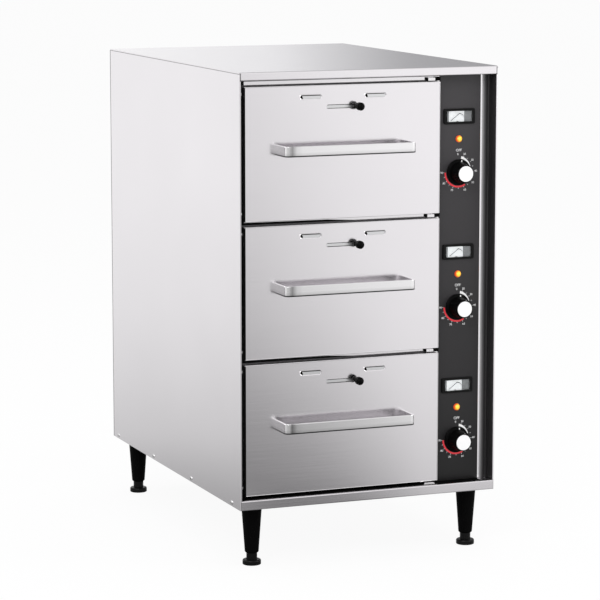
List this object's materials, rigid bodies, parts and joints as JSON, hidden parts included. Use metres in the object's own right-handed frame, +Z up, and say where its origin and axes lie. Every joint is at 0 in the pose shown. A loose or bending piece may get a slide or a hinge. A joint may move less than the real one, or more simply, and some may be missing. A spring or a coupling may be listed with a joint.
{
  "type": "food warmer cabinet",
  "caption": "Free-standing steel warming cabinet with stacked drawers that hold food pans, a thermostat beside each drawer, and adjustable legs.",
  "frame": {"origin": "on the floor, in the middle of the outline with the drawers closed", "axes": "+X to the right seen from the front, +Y to the back, +Z up; the drawers open towards -Y"},
  "size_m": [0.4876, 0.753, 0.864],
  "materials": {
    "casing_steel": "brushed, vertical grain",
    "drawer_steel": "brushed, horizontal grain",
    "handle_steel": "satin, fine grain",
    "frame_steel": "mill finish",
    "pan_steel": "satin",
    "zinc_steel": "zinc plated",
    "stile_black": "satin",
    "panel_black": "satin, fine texture",
    "wool": "matt",
    "moulded_black": "satin",
    "knob_black": "gloss",
    "dial_white": "matt print",
    "window_clear": "clear",
    "lamp_amber": "clear amber",
    "cap_bright": "satin",
    "heater_tube": "heat tinted",
    "screw_steel": "bright",
    "leg_black": "satin"
  },
  "bodies": {
    "cabinet": {"left_side_panel": "casing_steel", "right_side_panel": "casing_steel", "top_panel": "casing_steel", "base_pan": "casing_steel", "rear_panel": "casing_steel", "control_post": "casing_steel", "face_frame": "frame_steel", "compartment_wall": "frame_steel", "bay_liner": "frame_steel", "bay_floors": "frame_steel", "leg_channels": "frame_steel", "left_stile": "stile_black", "control_panel": "panel_black", "insulation": "wool", "gauge_bezels": "moulded_black", "cable_gland": "moulded_black", "terminal_block": "moulded_black", "gauge_dials": "dial_white", "gauge_windows": "window_clear", "pilot_lamps": "lamp_amber", "thermostats": "zinc_steel", "slide_outers": "zinc_steel", "heaters": "heater_tube", "casing_screws": "screw_steel", "stile_screws": "screw_steel", "leg_sleeves": "leg_black"},
    "drawer_bottom": {"drawer_front_bottom": "drawer_steel", "drawer_frame_bottom": "frame_steel", "food_pan_bottom": "pan_steel", "handle_bottom": "handle_steel", "slide_inner_bottom": "zinc_steel"},
    "slide_bottom": {"slide_middle_bottom": "zinc_steel"},
    "vent_bottom": {"vent_plate_bottom": "zinc_steel", "vent_knob_bottom": "knob_black"},
    "knob_bottom": {"thermostat_knob_bottom": "knob_black", "knob_cap_bottom": "cap_bright"},
    "drawer_middle": {"drawer_front_middle": "drawer_steel", "drawer_frame_middle": "frame_steel", "food_pan_middle": "pan_steel", "handle_middle": "handle_steel", "slide_inner_middle": "zinc_steel"},
    "slide_middle": {"slide_middle_middle": "zinc_steel"},
    "vent_middle": {"vent_plate_middle": "zinc_steel", "vent_knob_middle": "knob_black"},
    "knob_middle": {"thermostat_knob_middle": "knob_black", "knob_cap_middle": "cap_bright"},
    "drawer_top": {"drawer_front_top": "drawer_steel", "drawer_frame_top": "frame_steel", "food_pan_top": "pan_steel", "handle_top": "handle_steel", "slide_inner_top": "zinc_steel"},
    "slide_top": {"slide_middle_top": "zinc_steel"},
    "vent_top": {"vent_plate_top": "zinc_steel", "vent_knob_top": "knob_black"},
    "knob_top": {"thermostat_knob_top": "knob_black", "knob_cap_top": "cap_bright"},
    "foot_front_left": {"foot_front_left": "leg_black"},
    "foot_rear_left": {"foot_rear_left": "leg_black"},
    "foot_front_right": {"foot_front_right": "leg_black"},
    "foot_rear_right": {"foot_rear_right": "leg_black"}
  },
  "joints": [
    {"name": "drawer_bottom_slide", "type": "slide", "parent": "cabinet", "child": "drawer_bottom", "axis": [0, -1, 0], "range_m": [0, 0.5]},
    {"name": "slide_bottom_follow", "type": "slide", "parent": "cabinet", "child": "slide_bottom", "axis": [0, -1, 0], "range_m": [0, 0.25]},
    {"name": "vent_bottom_slide", "type": "slide", "parent": "drawer_bottom", "child": "vent_bottom", "axis": [1, 0, 0], "range_m": [-0.053, 0]},
    {"name": "knob_bottom_turn", "type": "hinge", "parent": "cabinet", "child": "knob_bottom", "pos_m": [0.1789, -0.325, 0.1967], "axis": [0, 1, 0], "range_deg": [0, 270]},
    {"name": "drawer_middle_slide", "type": "slide", "parent": "cabinet", "child": "drawer_middle", "axis": [0, -1, 0], "range_m": [0, 0.5]},
    {"name": "slide_middle_follow", "type": "slide", "parent": "cabinet", "child": "slide_middle", "axis": [0, -1, 0], "range_m": [0, 0.25]},
    {"name": "vent_middle_slide", "type": "slide", "parent": "drawer_middle", "child": "vent_middle", "axis": [1, 0, 0], "range_m": [-0.053, 0]},
    {"name": "knob_middle_turn", "type": "hinge", "parent": "cabinet", "child": "knob_middle", "pos_m": [0.1789, -0.325, 0.43657], "axis": [0, 1, 0], "range_deg": [0, 270]},
    {"name": "drawer_top_slide", "type": "slide", "parent": "cabinet", "child": "drawer_top", "axis": [0, -1, 0], "range_m": [0, 0.5]},
    {"name": "slide_top_follow", "type": "slide", "parent": "cabinet", "child": "slide_top", "axis": [0, -1, 0], "range_m": [0, 0.25]},
    {"name": "vent_top_slide", "type": "slide", "parent": "drawer_top", "child": "vent_top", "axis": [1, 0, 0], "range_m": [-0.053, 0]},
    {"name": "knob_top_turn", "type": "hinge", "parent": "cabinet", "child": "knob_top", "pos_m": [0.1789, -0.325, 0.67643], "axis": [0, 1, 0], "range_deg": [0, 270]},
    {"name": "foot_front_left_adjust", "type": "slide", "parent": "cabinet", "child": "foot_front_left", "axis": [0, 0, -1], "range_m": [0, 0.025]},
    {"name": "foot_rear_left_adjust", "type": "slide", "parent": "cabinet", "child": "foot_rear_left", "axis": [0, 0, -1], "range_m": [0, 0.025]},
    {"name": "foot_front_right_adjust", "type": "slide", "parent": "cabinet", "child": "foot_front_right", "axis": [0, 0, -1], "range_m": [0, 0.025]},
    {"name": "foot_rear_right_adjust", "type": "slide", "parent": "cabinet", "child": "foot_rear_right", "axis": [0, 0, -1], "range_m": [0, 0.025]}
  ],
  "couplings": [
    {"joint": "slide_bottom_follow", "follows": "drawer_bottom_slide", "ratio": 0.5},
    {"joint": "slide_middle_follow", "follows": "drawer_middle_slide", "ratio": 0.5},
    {"joint": "slide_top_follow", "follows": "drawer_top_slide", "ratio": 0.5}
  ]
}
